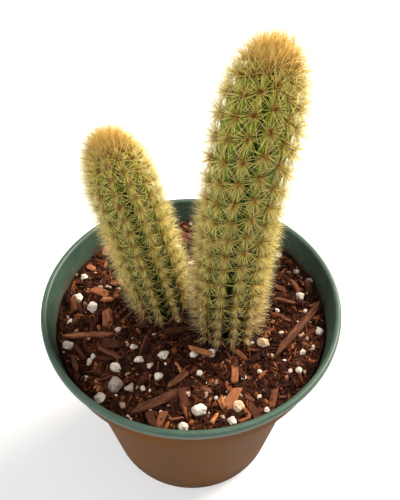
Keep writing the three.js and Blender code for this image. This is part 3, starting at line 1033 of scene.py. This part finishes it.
def scattered(rng, count, chips, stems, keep_off):
    """Places on the mix's surface, away from the stems and mostly off the chips and grains."""
    made = np.zeros((0, 2))
    while len(made) < count:
        r, a = MIX_R * np.sqrt(rng.random(count)), rng.uniform(0, TURN, count)
        points = np.column_stack([r * np.cos(a), r * np.sin(a)])
        clear = np.hypot(*points.T) < MIX_R - 0.6
        for stem in stems:
            at_surface = int(np.interp(MIX_EDGE_Z + 1, stem.points[:, 2], np.arange(CURVE_POINTS)))
            clear &= np.hypot(*(points - stem.points[at_surface][:2]).T) > stem.crest * 0.9
        covered = np.zeros(count, bool)
        for chip in chips:
            covered |= chip.covers(points, keep_off)
        for name in nodes_of("perlite"):
            low, high = (np.array(corner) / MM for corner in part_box(name))
            centre, half = (low + high) / 2, (high - low) / 2
            covered |= np.hypot(*((points - centre[:2]) / (half[:2] + keep_off)).T) < 1
        clear &= ~covered | (rng.random(count) < STRAY_SHARE)
        made = np.vstack([made, points[clear]])
    return made[:count]


def bit_rotations(rng, count):
    """Rotation matrices that turn some bits any way, and the rest only about Z."""
    loose = unit(rng.normal(size=(count, 4)))
    half = rng.uniform(0, TURN, count) / 2
    level = np.stack([np.cos(half), 0 * half, 0 * half, np.sin(half)], -1)
    w, x, y, z = np.where(rng.random((count, 1)) < LOOSE_SHARE, loose, level).T
    rows = [
        [1 - 2 * (y * y + z * z), 2 * (x * y - z * w), 2 * (x * z + y * w)],
        [2 * (x * y + z * w), 1 - 2 * (x * x + z * z), 2 * (y * z - x * w)],
        [2 * (x * z - y * w), 2 * (y * z + x * w), 1 - 2 * (x * x + y * y)],
    ]
    return np.moveaxis(np.array(rows), 2, 0)


def build_bits(rng, finishes, chips, stems, kind):
    """Lumpy bits of a kind from BITS, half sunk in the mix's surface, as one piece."""
    name, slot, finish, count, (least, most), shape, square, subdivisions, sink, keep_off = kind
    places = scattered(rng, count, chips, stems, keep_off)
    sizes = least + (most - least) * rng.random(count) ** 2
    patch = value_noise(np.column_stack([places, np.zeros(count)]), 11, 3)
    tones = np.clip(rng.random(count) ** 2 + 0.22 * patch, 0.01, 0.98)

    ball, faces = icosphere(subdivisions)
    form = rng.integers(0, BIT_FORMS, count)
    forms = []
    for i in range(BIT_FORMS):
        r = 1 + 0.4 * layered_noise(ball, 0.9, 40 + i, 2)
        forms.append(chipped(squarer(ball, square) * r[:, None] * 1.1, rng, 8, 0.4))
    local = np.array(forms)[form] * np.array(shape) * rng.uniform(0.7, 1.3, (count, 1, 3))
    turned = np.einsum("nij,nvj->nvi", bit_rotations(rng, count), local)
    centre = np.column_stack([places, mix_height(*places.T) + sizes * sink])
    verts = centre[:, None] + turned * sizes[:, None, None]
    past_wall = np.maximum(np.hypot(verts[..., 0], verts[..., 1]).max(1) - (MIX_R - 0.2), 0)
    verts[..., :2] -= (past_wall[:, None] * unit(places))[:, None]

    verts = verts.reshape(-1, 3)
    shade = np.clip(0.5 + 0.4 * value_noise(verts, 0.6, 5), 0.02, 0.98)
    tone = tones[:, None] + BIT_MAP_WIDTH * np.sin(np.arange(len(ball)) * 2.4)
    faces = repeated(faces, len(ball), count).tolist()
    piece = mesh_piece(name, verts, faces, [finishes[finish]], uv=np.column_stack([tone.ravel(), shade]))
    stand_for(piece, slot)


def build_fibres(rng, places, look):
    """Fine root and bark fibres lying over the mix, as thin bent three-sided strands."""
    count = len(places)
    length = rng.uniform(1.6, 6.0, count)
    heading = rng.uniform(0, TURN, count)
    bend = rng.normal(0, 0.7, count)
    width = rng.uniform(0.09, 0.3, count)
    t = np.linspace(-0.5, 0.5, FIBRE_ROWS)[None]
    way = heading[:, None] + bend[:, None] * t * 2
    x = places[:, :1] + length[:, None] * t * np.cos(way)
    y = places[:, 1:] + length[:, None] * t * np.sin(way)
    inside = np.hypot(x, y).max(1) < MIX_R - 0.3
    arch = rng.uniform(0.1, 0.7, count)[:, None] * (1 - (2 * t) ** 2)
    z = mix_height(x, y) + 0.25 + arch
    centre = np.stack([x, y, z], -1)[inside]
    aside = np.stack([-np.sin(way), np.cos(way), np.zeros_like(way)], -1)[inside]
    thin = (width[:, None] * (1 - 0.8 * np.abs(2 * t) ** 3))[inside]
    corners = [centre + thin[..., None] * corner for corner in corner_ways(aside, np.array([0, 0, 1.0]))]
    verts = np.stack(corners, 2).reshape(-1, 3)
    strands = inside.sum()
    tone = np.clip(rng.uniform(0.3, 1, strands)[:, None, None] + BIT_MAP_WIDTH * np.arange(3), 0, 0.99)
    shade = np.linspace(0.2, 0.8, FIBRE_ROWS)[None, :, None]
    uv = np.stack(np.broadcast_arrays(tone, shade), -1).reshape(-1, 2)
    faces = repeated(strand_faces(FIBRE_ROWS, pointed=False), 3 * FIBRE_ROWS, strands)
    stand_for(mesh_piece("mix_fibres", verts, faces.tolist(), [look], uv=uv), "potting_mix")


def build_mix(chips, stems):
    """The mix with all the loose bits on it."""
    mix_body()
    rng = np.random.default_rng(MIX_SEED)
    finishes = {name: bit_finish(name, *parts) for name, parts in BIT_FINISHES.items()}
    for kind in BITS:
        build_bits(rng, finishes, chips, stems, kind)
    build_fibres(rng, scattered(rng, FIBRES, chips, stems, 0.2), finishes["crumbs"])


# ---- Stage ----


def build_camera():
    data = bpy.data.cameras.new("camera")
    data.sensor_width = CAMERA_SENSOR
    data.lens = CAMERA_LENS
    data.clip_start = CAMERA_CLIP
    camera = add_object("camera", data)
    forward = Vector((0, math.cos(CAMERA_ELEVATION), -math.sin(CAMERA_ELEVATION)))
    level = Vector((1, 0, 0))
    upright = level.cross(forward)
    right = math.cos(CAMERA_ROLL) * level + math.sin(CAMERA_ROLL) * upright
    up = math.cos(CAMERA_ROLL) * upright - math.sin(CAMERA_ROLL) * level
    place = Matrix((right, up, -forward)).transposed().to_4x4()
    place.translation = CAMERA_TARGET - CAMERA_DISTANCE * forward
    camera.matrix_world = place
    bpy.context.scene.camera = camera


def area_light(name, direction, distance, size, power, color):
    data = bpy.data.lights.new(name, "AREA")
    data.shape = "DISK"
    data.size = size
    data.energy = power
    data.color = color
    light = add_object(name, data)
    light.location = CAMERA_TARGET + direction.normalized() * distance
    light.rotation_mode = "QUATERNION"
    light.rotation_quaternion = direction.to_track_quat("Z", "Y")


def build_lights():
    area_light("key", **KEY)
    area_light("fill", **FILL)
    world = bpy.data.worlds.new("studio")
    world.use_nodes = True
    background = world.node_tree.nodes["Background"]
    background.inputs["Color"].default_value = (1.0, 1.0, 1.0, 1.0)
    background.inputs["Strength"].default_value = WORLD_STRENGTH
    bpy.context.scene.world = world
    bpy.context.scene.view_settings.view_transform = "Standard"


def build_floor():
    half = FLOOR_HALF / MM
    look = Finish("floor", 0.85, Specular_IOR_Level=0.1, Emission_Strength=FLOOR_GLOW)
    look.shader.inputs["Emission Color"].default_value = (1, 1, 1, 1)
    look.color(look.ramp(look.noise(60, 2), (0.3, 0.7), ((198,) * 3, (202,) * 3)))
    corners = [(-half, -half, 0), (half, -half, 0), (half, half, 0), (-half, half, 0)]
    mesh_piece("floor", corners, [[0, 1, 2, 3]], [look.material])


build_camera()
build_lights()
build_floor()
build_pot()
stems = build_stems()
chips = build_chips()
build_grains()
build_mix(chips, stems)
